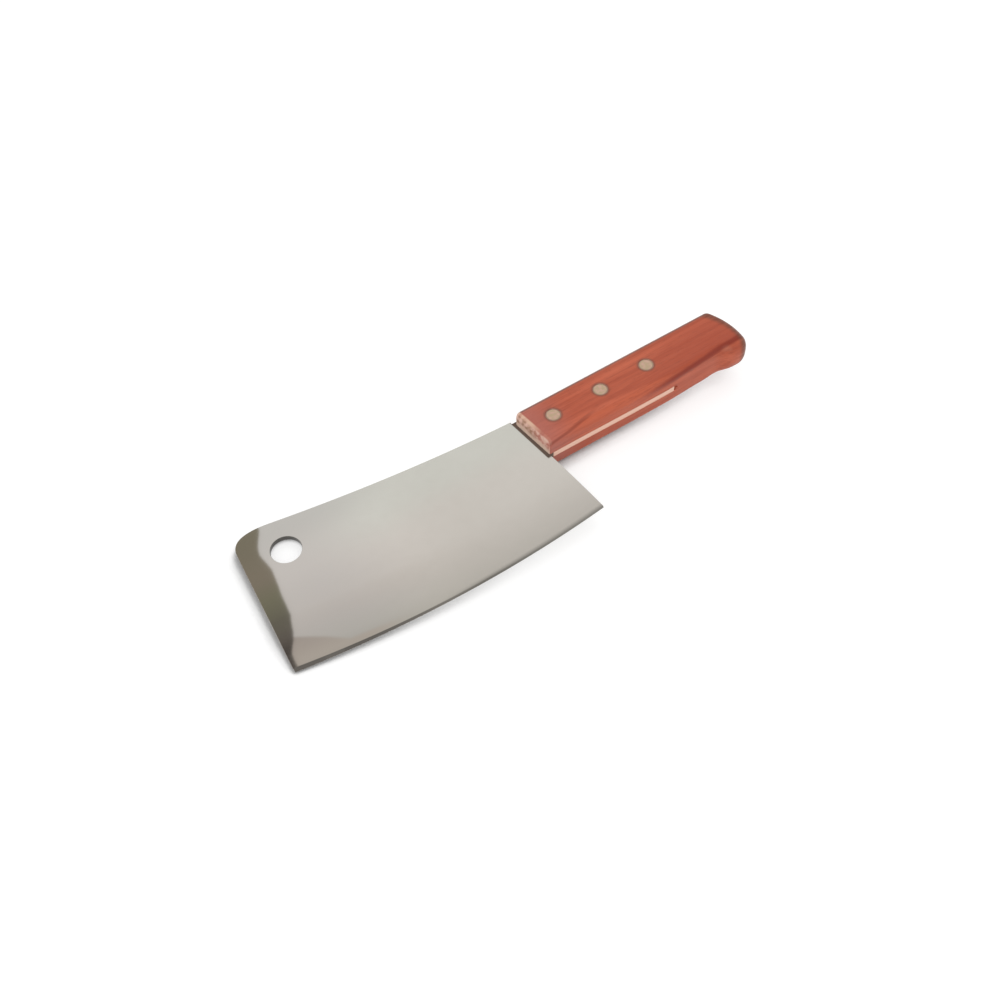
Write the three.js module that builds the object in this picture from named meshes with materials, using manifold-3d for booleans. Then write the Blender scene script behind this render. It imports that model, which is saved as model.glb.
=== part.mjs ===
// A kitchen cleaver with a ground steel blade and a slotted hardwood handle on three cutler's rivets.
// All lengths are in millimetres and all angles in degrees.
//
// The knife is drawn flat in its own axes: X runs along the handle from the blade's front to the butt,
// Y points from the cutting edge to the spine, and Z is square to the blade's side. The knife's own
// origin lies on the handle's axis at its front end, halfway through the steel. The finished knife is
// then laid down on a table, with +Z up.

import * as THREE from 'three';
import { mergeVertices } from 'three/addons/utils/BufferGeometryUtils.js';
import Module from 'manifold-3d';

// Blade outline
const bladeReach = 167.9; // front lower corner, ahead of the handle's front
const tipDepth = 50.5; // front lower corner, below the handle's axis
const heelDepth = 56.4; // heel corner, below the handle's axis
const heelSetback = 4.6; // heel corner, behind the handle's front
const heelLean = 4.4; // slope of the heel line, towards the handle at its foot
const edgeBelly = 5.7; // how far the cutting edge bows out between its two corners
const frontLean = 5.2; // slope of the front, towards the handle at its top
const spineHeightFront = 35.7; // where spine and front would meet, above the handle's axis
const spineHeightRear = 16.3; // spine at the handle, above the handle's axis
const spineDip = 3.2; // how far the spine dips below a straight line
const cornerAlongSpine = 22.0; // start of the rounded front corner, measured along the spine
const cornerAlongFront = 12.0; // end of the rounded front corner, measured down the front
const hangHoleDiameter = 16.0;
const hangHoleFromFront = 20.4; // hole centre, behind the corner where spine and front would meet
const hangHoleFromTop = 23.1; // hole centre, below that corner

// Blade section
const bladeThickness = 2.8;
const grindStep = 0.1; // what grinding takes off each side of the steel ahead of the handle
const grindWidth = 28.0; // width of the convex grind above the edge
const bevelWidth = 2.2; // width of the sharpened bevel
const shoulderThickness = 1.1; // steel left behind the bevel
const edgeThickness = 0.16; // flat left at the very edge
const stepLead = 1.8; // the ground face stops this far ahead of the wood

// Handle
const handleThickness = 21.0;
const spineSideHeight = 14.8; // straight upper side, above the axis
const bellyDepthFront = 13.8; // lower side at the front, below the axis
const bellyDepthSwell = 14.2; // palm swell
const bellyDepthWaist = 13.2; // waist ahead of the butt
const bellyDepthFlare = 16.7; // flare at the butt
const swellFromFront = 72.0; // fullest place of the palm swell, behind the front
const waistFromButt = 24.2; // narrowest place, ahead of the butt's end
const flareFlat = 1.0; // short straight piece of the flare, ahead of the butt's corner
const buttSolidLength = 49.3; // wood behind the slot
const buttRadius = 41.2; // round end, seen from above
const buttCentreDrop = 8.6; // the round end's centre, below the axis
const longEdgeRadius = 3.5; // rounding along the handle's long edges and round the butt
const palmRounding = 6.3; // fuller rounding of the butt's belly corner, measured inwards
const palmRoundingShare = 0.43; // the same rounding measured up and down, as a share of the thickness
const palmEndRadius = 81.0; // the fuller rounding runs out along this flatter arc towards the spine
const palmAllowance = 0.05; // the fuller rounding starts this far outside the outline
const buttSpineCornerExtra = 0.5; // corner at the spine side, over the long edge's rounding
const buttBellyCornerExtra = 0.4; // corner at the belly side, over the fuller rounding
const frontSlant = 9.5; // slope of the front end, leaning back towards the belly
const frontEdgeRadius = 3.0; // rounding of the front end's upper and lower edges

// Tang and slot
const tangPastLastRivet = 8.1;
const slotPastTang = 2.5; // empty end of the slot
const slotClearance = 0.15; // between the tang and each wall of the slot

// Rivets
const rivetFromFront = 14.2; // first rivet, behind the handle's front
const rivetPitch = 30.55;
const rivetRise = 1.2; // rivet line, above the handle's axis
const rivetHeadDiameter = 8.0;
const rivetHeadThickness = 1.8;
const rivetTubeDiameter = 5.2;
const rivetPinDiameter = 3.6;
const headClearance = 0.12; // round and under each head
const tubeClearance = 0.15; // round the tube, in the wood
const pinClearance = 0.12; // round the pin, in the tube
const endClearance = 0.3; // ahead of the pin's and the tube's ends
const tangHoleClearance = 0.3; // round the tube, in the tang

// How finely curves are drawn
const outlineSteps = 13; // straight pieces for each curve of an outline, odd so that an S has no flat middle
const roundSides = 28; // sides of a round bore, head or pin
const hangHoleSides = 48;
const sweepSteps = 28; // stations along the cutting edge
const grindSteps = 5; // facets across each side of the grind
const longEdgeSteps = 4; // facets across the rounding of a long edge
const palmSteps = 6; // facets across the fuller rounding of the belly corner
const overrun = 15.0; // how far a tool's outline passes the piece that it cuts

const rivetNames = ['front', 'middle', 'rear'];
const rivetPlaces = rivetNames.map((_, i) => new THREE.Vector2(rivetFromFront + i * rivetPitch, rivetRise));
const halfHandle = handleThickness / 2;
const tangThickness = bladeThickness + 2 * grindStep;
const slotThickness = tangThickness + 2 * slotClearance;
const tangLength = rivetPlaces.at(-1).x + tangPastLastRivet;
const slotLength = tangLength + slotPastTang;
const handleLength = slotLength + buttSolidLength;
const slantSlope = Math.tan(THREE.MathUtils.degToRad(frontSlant));

// Solids

const wasm = await Module();
wasm.setup();

// Turns a closed geometry into a solid that can be cut and joined.
function solidFrom(geometry) {
  const bare = geometry.clone();
  bare.deleteAttribute('normal');
  bare.deleteAttribute('uv');
  const welded = mergeVertices(bare);
  const corners = welded.index.array;
  const triangles = [];
  for (let i = 0; i < corners.length; i += 3) {
    const [a, b, c] = corners.slice(i, i + 3);
    if (a !== b && b !== c && c !== a) triangles.push(a, b, c);
  }
  return new wasm.Manifold(new wasm.Mesh({
    numProp: 3,
    vertProperties: welded.attributes.position.array,
    triVerts: new Uint32Array(triangles),
  }));
}

function geometryFrom(solid) {
  const { vertProperties, triVerts } = solid.getMesh();
  const geometry = new THREE.BufferGeometry();
  geometry.setAttribute('position', new THREE.BufferAttribute(vertProperties, 3));
  geometry.setIndex(new THREE.BufferAttribute(triVerts, 1));
  geometry.computeVertexNormals();
  return geometry;
}

function namedMesh(name, geometry, material) {
  const mesh = new THREE.Mesh(geometry, material);
  mesh.name = name;
  return mesh;
}

// A slab of the given outline, centred on the blade's middle plane.
function slab(shape, thickness) {
  const geometry = new THREE.ExtrudeGeometry(shape, {
    depth: thickness,
    bevelEnabled: false,
    curveSegments: outlineSteps,
  });
  return geometry.translate(0, 0, -thickness / 2);
}

// A round bar along Z through a place in the outline.
function roundBar(diameter, length, place, sides = roundSides) {
  const geometry = new THREE.CylinderGeometry(diameter / 2, diameter / 2, length, sides);
  return geometry.rotateX(Math.PI / 2).translate(place.x, place.y, 0);
}

// A revolved piece along Z. The profile holds radius and height pairs and starts and ends on the axis.
function revolved(profile) {
  const points = profile.map(([radius, height]) => new THREE.Vector2(radius, height));
  return new THREE.LatheGeometry(points, roundSides).rotateX(Math.PI / 2);
}

// The handle's front end leans, so its place along X depends on the height across the handle.
function handleFrontAt(y) {
  return -y * slantSlope;
}

// Handle

const spineCorner = longEdgeRadius + buttSpineCornerExtra;
const bellyCorner = palmRounding + buttBellyCornerExtra;
const buttCentre = new THREE.Vector2(handleLength - buttRadius, -buttCentreDrop);

// The middle of a butt corner, which touches the long side and lies inside the round end.
function cornerCentre(radius, y) {
  const across = y - buttCentre.y;
  return new THREE.Vector2(buttCentre.x + Math.sqrt((buttRadius - radius) ** 2 - across ** 2), y);
}

const spineCentre = cornerCentre(spineCorner, spineSideHeight - spineCorner);
const bellyCentre = cornerCentre(bellyCorner, -bellyDepthFlare + bellyCorner);
const spineTurn = spineCentre.clone().sub(buttCentre).angle();
const bellyTurn = bellyCentre.clone().sub(buttCentre).angle();

// The straight spine side, the round butt with its two corners, and the belly's waist and palm swell.
// The outline starts well ahead of the front end, which is cut later.
function handleOutline() {
  const centre = buttCentre;
  const belly = [
    [bellyCentre.x - flareFlat, -bellyDepthFlare],
    [handleLength - waistFromButt, -bellyDepthWaist],
    [swellFromFront, -bellyDepthSwell],
    [0, -bellyDepthFront],
  ];
  const shape = new THREE.Shape();
  shape.moveTo(-overrun, spineSideHeight);
  shape.lineTo(spineCentre.x, spineSideHeight);
  shape.absarc(spineCentre.x, spineCentre.y, spineCorner, Math.PI / 2, spineTurn, true);
  shape.absarc(centre.x, centre.y, buttRadius, spineTurn, bellyTurn, true);
  shape.absarc(bellyCentre.x, bellyCentre.y, bellyCorner, bellyTurn, -Math.PI / 2, true);
  shape.lineTo(...belly[0]);
  for (let i = 1; i < belly.length; i += 1) {
    const [fromX, fromY] = belly[i - 1];
    const [toX, toY] = belly[i];
    const middle = (fromX + toX) / 2;
    shape.bezierCurveTo(middle, fromY, middle, toY, toX, toY);
  }
  shape.lineTo(-overrun, -bellyDepthFront);
  shape.closePath();
  return shape;
}

// A slab seen from the side: the shape's X stays X and its Y becomes Z. A slope leans it along X as it
// runs across the handle.
function sideSlab(shape, slope) {
  const width = 2 * (spineSideHeight + bellyDepthFlare + overrun);
  const upright = new THREE.Matrix4().makeBasis(
    new THREE.Vector3(1, 0, 0),
    new THREE.Vector3(0, 0, 1),
    new THREE.Vector3(slope, -1, 0),
  );
  return slab(shape, width).applyMatrix4(upright);
}

// The side view of the handle, open towards the butt: a flat front end with rounded edges.
function frontCutter() {
  const back = handleLength + overrun;
  const straight = halfHandle - frontEdgeRadius;
  const shape = new THREE.Shape();
  shape.moveTo(back, -halfHandle);
  shape.lineTo(back, halfHandle);
  shape.lineTo(frontEdgeRadius, halfHandle);
  shape.absarc(frontEdgeRadius, straight, frontEdgeRadius, Math.PI / 2, Math.PI, false);
  shape.lineTo(0, -straight);
  shape.absarc(frontEdgeRadius, -straight, frontEdgeRadius, Math.PI, 1.5 * Math.PI, false);
  shape.closePath();
  return sideSlab(shape, slantSlope);
}

// Points of an arc from one angle to another.
function arcPoints(centre, radius, from, to) {
  return Array.from({ length: outlineSteps + 1 }, (_, i) => {
    const angle = from + (to - from) * i / outlineSteps;
    return new THREE.Vector2(centre.x + radius * Math.cos(angle), centre.y + radius * Math.sin(angle));
  });
}

// The butt's belly corner fits the palm, so it is rounded more fully than the long edges. This rounding
// runs out along the flare and, on a flatter arc, along the round end towards the spine.
function palmCutter() {
  const end = bellyCentre.clone().sub(buttCentre).normalize();
  const centre = bellyCentre.clone().addScaledVector(end, bellyCorner - palmEndRadius);
  const top = spineSideHeight + 2 * overrun;
  const topTurn = Math.asin((top - centre.y) / palmEndRadius);
  const roundingUp = palmRoundingShare * handleThickness;
  const shape = new THREE.Shape([
    new THREE.Vector2(-2 * overrun, top),
    ...arcPoints(centre, palmEndRadius, topTurn, bellyTurn - 2 * Math.PI),
    ...arcPoints(bellyCentre, bellyCorner, bellyTurn - 2 * Math.PI, -Math.PI / 2).slice(1),
    new THREE.Vector2(-2 * overrun, -bellyDepthFlare),
  ]);
  return new THREE.ExtrudeGeometry(shape, {
    depth: handleThickness - 2 * roundingUp,
    bevelThickness: roundingUp,
    bevelSize: palmRounding,
    bevelOffset: palmAllowance - palmRounding,
    bevelSegments: palmSteps,
    curveSegments: outlineSteps,
  }).translate(0, 0, roundingUp - halfHandle);
}

// The saw slot for the tang, with a round end.
function slotCutter() {
  const half = slotThickness / 2;
  const shape = new THREE.Shape();
  shape.moveTo(-overrun, -half);
  shape.lineTo(slotLength - half, -half);
  shape.absarc(slotLength - half, 0, half, -Math.PI / 2, Math.PI / 2, false);
  shape.lineTo(-overrun, half);
  shape.closePath();
  return sideSlab(shape, 0);
}

// One rivet's bore: a narrow hole for the tube and a wide seat for each head.
function rivetBore() {
  const seat = rivetHeadDiameter / 2 + headClearance;
  const hole = rivetTubeDiameter / 2 + tubeClearance;
  const floor = halfHandle - rivetHeadThickness - headClearance;
  const top = halfHandle + overrun;
  return revolved([[0, -top], [seat, -top], [seat, -floor], [hole, -floor],
    [hole, floor], [seat, floor], [seat, top], [0, top]]);
}

function handleSolid() {
  const body = new THREE.ExtrudeGeometry(handleOutline(), {
    depth: handleThickness - 2 * longEdgeRadius,
    bevelThickness: longEdgeRadius,
    bevelSize: longEdgeRadius,
    bevelOffset: -longEdgeRadius,
    bevelSegments: longEdgeSteps,
    curveSegments: outlineSteps,
  }).translate(0, 0, longEdgeRadius - halfHandle);
  let solid = solidFrom(body).intersect(solidFrom(frontCutter())).intersect(solidFrom(palmCutter()));
  solid = solid.subtract(solidFrom(slotCutter()));
  for (const place of rivetPlaces) {
    solid = solid.subtract(solidFrom(rivetBore().translate(place.x, place.y, 0)));
  }
  return solid;
}

// Blade

// The two corners of the cutting edge, and the arc between them.
const tip = new THREE.Vector2(-bladeReach, -tipDepth);
const heel = new THREE.Vector2(heelSetback, -heelDepth);

// The circle through two points that bows out by a given height on the right of the way between them.
function bowedArc(from, to, height) {
  const chord = to.clone().sub(from);
  const radius = (chord.length() ** 2 / 4 + height ** 2) / (2 * height);
  const left = new THREE.Vector2(-chord.y, chord.x).normalize();
  const centre = from.clone().add(to).multiplyScalar(0.5).addScaledVector(left, radius - height);
  return { centre, radius };
}

class CuttingEdge extends THREE.Curve {
  constructor() {
    super();
    const { centre, radius } = bowedArc(tip, heel, edgeBelly);
    const spare = overrun / radius;
    this.centre = centre;
    this.radius = radius;
    this.start = tip.clone().sub(centre).angle() - spare;
    this.sweep = heel.clone().sub(centre).angle() + spare - this.start;
  }

  getPoint(t, target = new THREE.Vector3()) {
    const angle = this.start + t * this.sweep;
    const x = this.centre.x + this.radius * Math.cos(angle);
    const y = this.centre.y + this.radius * Math.sin(angle);
    return target.set(x, y, 0);
  }
}

// Half the steel's thickness at a distance from the edge: bevel, then convex grind, then flat side.
function halfThicknessAt(distance) {
  const full = bladeThickness / 2;
  const shoulder = shoulderThickness / 2;
  const left = Math.max(0, 1 - (distance - bevelWidth) / grindWidth);
  return full - (full - shoulder) * left ** 2;
}

// The blade's section, from the edge up: X across the steel and Y away from the edge.
function bladeSection() {
  const height = spineHeightFront + Math.max(tipDepth, heelDepth) + edgeBelly + overrun;
  const side = [[edgeThickness / 2, 0]];
  for (let i = 0; i <= grindSteps; i += 1) {
    const distance = bevelWidth + grindWidth * i / grindSteps;
    side.push([halfThicknessAt(distance), distance]);
  }
  side.push([bladeThickness / 2, height]);
  const points = [
    ...side.map(([across, up]) => new THREE.Vector2(across, up)),
    ...side.map(([across, up]) => new THREE.Vector2(-across, up)).reverse(),
  ];
  return new THREE.Shape(points);
}

// The ground plate: the section carried along the cutting edge.
function groundPlate() {
  return new THREE.ExtrudeGeometry(bladeSection(), {
    extrudePath: new CuttingEdge(),
    steps: sweepSteps,
    bevelEnabled: false,
  });
}

// The corner where spine and front would meet if it weren't rounded.
function frontTopCorner() {
  const rise = spineHeightFront + tipDepth;
  const back = rise * Math.tan(THREE.MathUtils.degToRad(frontLean));
  return new THREE.Vector2(-bladeReach + back, spineHeightFront);
}

// The point of a line at a height.
function leaningPoint(from, leanDegrees, y) {
  return new THREE.Vector2(from.x + (y - from.y) * Math.tan(THREE.MathUtils.degToRad(leanDegrees)), y);
}

// Outline of the steel that is ground: dipped spine, rounded front corner, front, heel, and a tongue
// that runs on inside the tang. The foot passes below the cutting edge, which the grind makes.
function groundOutline() {
  const corner = frontTopCorner();
  const rear = new THREE.Vector2(handleFrontAt(spineHeightRear) - stepLead, spineHeightRear);
  const spine = bowedArc(corner, rear, spineDip);
  const startAngle = rear.clone().sub(spine.centre).angle();
  const cornerAngle = corner.clone().sub(spine.centre).angle();
  const endAngle = cornerAngle - Math.sign(cornerAngle - startAngle) * cornerAlongSpine / spine.radius;
  const front = leaningPoint(tip, frontLean, corner.y - cornerAlongFront);
  const frontFoot = leaningPoint(tip, frontLean, tip.y - overrun);
  const heelFoot = leaningPoint(heel, -heelLean, heel.y - overrun);
  const tongueTop = spineSideHeight - stepLead;
  const tongueFoot = -bellyDepthFront + stepLead;
  const heelTop = leaningPoint(heel, -heelLean, tongueFoot);
  const tongueEnd = tangLength - overrun;
  const shape = new THREE.Shape();
  shape.moveTo(rear.x, rear.y);
  shape.absarc(spine.centre.x, spine.centre.y, spine.radius, startAngle, endAngle, startAngle > endAngle);
  shape.quadraticCurveTo(corner.x, corner.y, front.x, front.y);
  shape.lineTo(frontFoot.x, frontFoot.y);
  shape.lineTo(heelFoot.x, heelFoot.y);
  shape.lineTo(heelTop.x, heelTop.y);
  shape.lineTo(tongueEnd, tongueFoot);
  shape.lineTo(tongueEnd, tongueTop);
  shape.lineTo(handleFrontAt(tongueTop) - stepLead, tongueTop);
  shape.closePath();
  return shape;
}

// The tang fills the handle's height, so its edges lie flush with the wood.
function tangSolid() {
  const above = spineSideHeight + overrun;
  const below = -bellyDepthFlare - overrun;
  const blank = new THREE.Shape([
    new THREE.Vector2(handleFrontAt(above) - stepLead, above),
    new THREE.Vector2(handleFrontAt(below) - stepLead, below),
    new THREE.Vector2(tangLength, below),
    new THREE.Vector2(tangLength, above),
  ]);
  const trimmed = solidFrom(slab(blank, tangThickness));
  return trimmed.intersect(solidFrom(slab(handleOutline(), handleThickness)));
}

function bladeSolid() {
  const corner = frontTopCorner();
  const hangHole = new THREE.Vector2(corner.x + hangHoleFromFront, corner.y - hangHoleFromTop);
  const through = tangThickness + overrun;
  const ground = solidFrom(groundPlate()).intersect(solidFrom(slab(groundOutline(), through)));
  let solid = ground.add(tangSolid());
  solid = solid.subtract(solidFrom(roundBar(hangHoleDiameter, through, hangHole, hangHoleSides)));
  const tangHole = rivetTubeDiameter + 2 * tangHoleClearance;
  for (const place of rivetPlaces) {
    solid = solid.subtract(solidFrom(roundBar(tangHole, through, place)));
  }
  return solid;
}

// Rivets

// The half with the solid pin, put in from the upper side.
function rivetPinHalf() {
  const head = rivetHeadDiameter / 2;
  const pin = rivetPinDiameter / 2;
  const seat = halfHandle - rivetHeadThickness;
  const pinEnd = -seat + endClearance;
  return revolved([[0, pinEnd], [pin, pinEnd], [pin, seat], [head, seat], [head, halfHandle], [0, halfHandle]]);
}

// The half with the tube, put in from the lower side.
function rivetTubeHalf() {
  const head = rivetHeadDiameter / 2;
  const tube = rivetTubeDiameter / 2;
  const bore = rivetPinDiameter / 2 + pinClearance;
  const seat = halfHandle - rivetHeadThickness;
  const tubeEnd = seat - endClearance;
  return revolved([[0, -halfHandle], [head, -halfHandle], [head, -seat], [tube, -seat],
    [tube, tubeEnd], [bore, tubeEnd], [bore, -seat], [0, -seat]]);
}

// Assembly

const steel = () => new THREE.MeshStandardMaterial({ color: 0xc4c0b8, roughness: 0.22, metalness: 1.0 });
const wood = () => new THREE.MeshStandardMaterial({ color: 0xb25c44, roughness: 0.45, metalness: 0.0 });
const rivetMetal = () => new THREE.MeshStandardMaterial({ color: 0xbfa18a, roughness: 0.38, metalness: 1.0 });

const knife = new THREE.Group();
const blade = namedMesh('blade', geometryFrom(bladeSolid()), steel());
const handle = namedMesh('handle', geometryFrom(handleSolid()), wood());
knife.add(blade, handle);
rivetNames.forEach((name, i) => {
  const halves = [['pin', rivetPinHalf()], ['tube', rivetTubeHalf()]];
  for (const [half, geometry] of halves) {
    const rivet = namedMesh(`${name}_rivet_${half}`, geometryFrom(solidFrom(geometry)), rivetMetal());
    rivet.position.set(rivetPlaces[i].x, rivetPlaces[i].y, 0);
    knife.add(rivet);
  }
});

// On a table the knife lies on the lower front edge of its handle and on the blade's front, so it is
// turned about a line along that edge until both are equally low.
const frontEdgeLine = new THREE.Vector3(-slantSlope, 1, 0).normalize();

function lowestPoint(mesh, turn) {
  const places = mesh.geometry.attributes.position;
  const point = new THREE.Vector3();
  let lowest = Infinity;
  for (let i = 0; i < places.count; i += 1) {
    point.fromBufferAttribute(places, i).applyQuaternion(turn);
    lowest = Math.min(lowest, point.z);
  }
  return lowest;
}

function lyingTurn() {
  const turn = new THREE.Quaternion();
  let flat = 0;
  let steep = -Math.PI / 8;
  for (let i = 0; i < 40; i += 1) {
    const middle = (flat + steep) / 2;
    turn.setFromAxisAngle(frontEdgeLine, middle);
    if (lowestPoint(blade, turn) > lowestPoint(handle, turn)) flat = middle;
    else steep = middle;
  }
  return turn;
}

// The finished part stands with its origin in the middle of its footprint, on the table.
const cleaver = new THREE.Group();
cleaver.add(knife);
knife.quaternion.copy(lyingTurn());
cleaver.updateMatrixWorld(true);
const box = new THREE.Box3().setFromObject(cleaver, true);
const middle = box.getCenter(new THREE.Vector3());
knife.position.set(-middle.x, -middle.y, -box.min.z);

export default cleaver;
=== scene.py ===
# %% [markdown]
# # A kitchen cleaver
# The knife is a ground steel blade, a slotted hardwood handle and three cutler's rivets, lying on a
# pale table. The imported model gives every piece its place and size. Here each piece gets the smooth
# surface and the finish of the real one: polished steel, lacquered red wood, satin rivet heads.

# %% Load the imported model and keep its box
import bmesh
import bpy
import numpy as np
from mathutils import Matrix, Vector


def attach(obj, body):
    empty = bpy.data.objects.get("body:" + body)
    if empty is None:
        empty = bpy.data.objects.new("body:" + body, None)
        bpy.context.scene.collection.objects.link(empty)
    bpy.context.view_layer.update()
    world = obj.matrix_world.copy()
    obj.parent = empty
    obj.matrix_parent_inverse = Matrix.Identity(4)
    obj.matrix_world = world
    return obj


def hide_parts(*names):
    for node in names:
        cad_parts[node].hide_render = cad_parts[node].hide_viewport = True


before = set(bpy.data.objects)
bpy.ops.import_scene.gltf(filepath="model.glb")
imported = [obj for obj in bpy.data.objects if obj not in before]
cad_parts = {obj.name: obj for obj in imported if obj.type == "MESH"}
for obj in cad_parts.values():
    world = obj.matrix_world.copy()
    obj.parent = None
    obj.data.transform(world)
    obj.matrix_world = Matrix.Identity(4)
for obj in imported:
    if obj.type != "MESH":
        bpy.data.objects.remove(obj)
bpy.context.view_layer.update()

# %% [markdown]
# ## The knife's own axes
# A knife is easiest to draw lying square: X along the handle, Y from the edge to the spine, Z through
# the steel, zero on the handle's axis at its front end. On the table it is tilted a little, because the
# handle is thicker than the blade. The tilt could be copied as an angle, but the rivets already show it:
# their row gives X and their pins give Z, so the axes are measured on them.

# %% Measure the axes on the rivet pins
RIVET_NAMES = ["front", "middle", "rear"]
RIVET_FIRST, RIVET_PITCH, RIVET_RISE = 14.2, 30.55, 1.2
HANDLE_HALF = 10.5


def node_points(name):
    """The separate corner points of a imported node, in mm."""
    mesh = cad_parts[name].data
    flat = np.empty(len(mesh.vertices) * 3)
    mesh.vertices.foreach_get("co", flat)
    return np.unique(np.round(flat.reshape(-1, 3) * 1000, 3), axis=0)


def unit(vector):
    return vector / np.linalg.norm(vector)


def head_middle(name):
    """The middle of a pin's upper face: the mean of its highest ring of points along the pin."""
    points = node_points(name)
    centred = points - points.mean(0)
    along = np.linalg.svd(centred, full_matrices=False)[2][0]
    along = along * np.sign(along[2])
    height = centred @ along
    return points[height > height.max() - 0.02].mean(0), along


heads = [head_middle(f"{name}_rivet_pin") for name in RIVET_NAMES]
knife_x = unit(heads[2][0] - heads[0][0])
knife_z = unit(heads[1][1] - (heads[1][1] @ knife_x) * knife_x)
knife_y = np.cross(knife_z, knife_x)
knife_axes = np.stack([knife_x, knife_y, knife_z], axis=1)
knife_zero = heads[0][0] - knife_axes @ np.array([RIVET_FIRST, RIVET_RISE, HANDLE_HALF])


def on_table(points):
    """Points of the square-lying knife, in mm, as points on the table, in metres."""
    return (points @ knife_axes.T + knife_zero) / 1000


print("tilt of the knife on the table: %.2f degrees" % np.degrees(np.arccos(knife_z[2])))

# %% [markdown]
# ## The camera
# The camera looks down at the knife from the blade's front side. Its place was worked out from the
# ellipses of the hole and the rivets and from the handle's straight lines, so it is set by an azimuth,
# a pitch and a distance from a point on the table.

# %% Set the camera
CAMERA_AZIMUTH, CAMERA_PITCH = np.radians(-33.63), np.radians(50.98)
CAMERA_DISTANCE, CAMERA_TARGET = 0.6202, np.array([-0.01549, -0.00331, 0.0])
CAMERA_REACH = 1.2

camera_data = bpy.data.cameras.new("camera")
camera_data.sensor_width = 36.0
camera_data.lens = CAMERA_REACH * camera_data.sensor_width
camera_data.clip_start = 0.01
camera = bpy.data.objects.new("camera", camera_data)
bpy.context.scene.collection.objects.link(camera)
forward = np.array([
    -np.sin(CAMERA_AZIMUTH) * np.cos(CAMERA_PITCH),
    np.cos(CAMERA_AZIMUTH) * np.cos(CAMERA_PITCH),
    -np.sin(CAMERA_PITCH),
])
camera.location = CAMERA_TARGET - forward * CAMERA_DISTANCE
camera.rotation_euler = Vector(forward).to_track_quat("-Z", "Y").to_euler()
bpy.context.scene.camera = camera
print("camera at, mm:", np.round(np.array(camera.location) * 1000, 1).tolist())

# %% [markdown]
# ## Surfaces from numbered patches
# Every piece is a closed skin sewn from patches. A patch is a grid of points with numbers, and two
# patches that meet use the same numbers along their seam, so nothing has to be glued by eye. A hole is
# a gap left in a grid, filled by rings that run from the gap's square border to a circle.

# %% Helpers that gather points and faces
class Skin:
    """Points and faces of one piece, gathered patch by patch."""

    def __init__(self):
        self.blocks, self.faces, self.count = [], [], 0

    def add(self, points):
        """Adds an array of points and returns their numbers, in the same arrangement."""
        points = np.asarray(points, float)
        numbers = self.count + np.arange(points[..., 0].size).reshape(points.shape[:-1])
        self.blocks.append(points.reshape(-1, points.shape[-1]))
        self.count += numbers.size
        return numbers

    def grid(self, numbers, gaps=()):
        """Four-cornered faces between neighbouring points, apart from the cells of each gap."""
        cells = np.stack([numbers[:-1, :-1], numbers[1:, :-1], numbers[1:, 1:], numbers[:-1, 1:]], -1)
        kept = np.ones(cells.shape[:2], bool)
        for rows, columns in gaps:
            kept[rows, columns] = False
        self.faces.append(cells[kept])

    def band(self, first, second):
        """A closed band of faces between two loops with the same count of points."""
        corners = [first, second, np.roll(second, -1), np.roll(first, -1)]
        self.faces.append(np.stack(corners, -1))

    def points(self):
        return np.concatenate(self.blocks)

    def quads(self):
        return np.concatenate(self.faces)


def gap_border(numbers, rows, columns):
    """The numbers round a gap, in order: down one side, along the foot, up and back along the top."""
    block = numbers[rows.start:rows.stop + 1, columns.start:columns.stop + 1]
    return np.concatenate([block[:-1, 0], block[-1, :-1], block[:0:-1, -1], block[0, :0:-1]])


def around(points, centre):
    """The angle at which each point is seen from a centre."""
    return np.arctan2(points[:, 1] - centre[1], points[:, 0] - centre[0])


def circle(centre, radius, angles):
    """Points of a circle at the given angles."""
    return np.stack([centre[0] + radius * np.cos(angles), centre[1] + radius * np.sin(angles)], -1)


# %% Helper that turns a skin into a finished piece
def joined(points, quads):
    """Points that coincide become one, and a face that loses a corner that way becomes a triangle."""
    places, number = np.unique(np.round(points, 4) + 0.0, axis=0, return_inverse=True)
    quads = number.reshape(-1)[quads]
    triangles = []
    for k in range(4):
        short = quads[:, k] == quads[:, (k + 1) % 4]
        triangles.append(np.delete(quads[short], k, axis=1))
        quads = quads[~short]
    return places, quads, np.concatenate(triangles)


def make_piece(name, points, quads, replaced, slot, sharp_degrees):
    """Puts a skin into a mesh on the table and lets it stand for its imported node."""
    places, quads, triangles = joined(points, quads)
    mesh = bpy.data.meshes.new(name)
    mesh.from_pydata(on_table(places).tolist(), [], quads.tolist() + triangles.tolist())
    body = bmesh.new()
    body.from_mesh(mesh)
    bmesh.ops.recalc_face_normals(body, faces=body.faces)
    open_edges = sum(len(edge.link_faces) != 2 for edge in body.edges)
    body.to_mesh(mesh)
    body.free()
    mesh.polygons.foreach_set("use_smooth", np.ones(len(mesh.polygons), bool))
    mesh.set_sharp_from_angle(angle=np.radians(sharp_degrees))
    piece = bpy.data.objects.new(name, mesh)
    bpy.context.scene.collection.objects.link(piece)
    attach(piece, "root")
    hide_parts(replaced)
    print(f"{name}: {len(places)} points, {len(quads)} quads, {len(triangles)} triangles,",
          f"open edges {open_edges}")
    return piece


# %% [markdown]
# ## Lines of the handle
# The tang fills the handle's height, so blade and handle share the handle's outline. Its spine side is
# straight. Its belly swells under the palm, draws in at a waist and flares at the butt, and smooth
# S-curves lead from one to the next. The butt is part of a circle with two corners, a tight one at the
# spine and a full one at the belly, where it lies in the palm.

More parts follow.
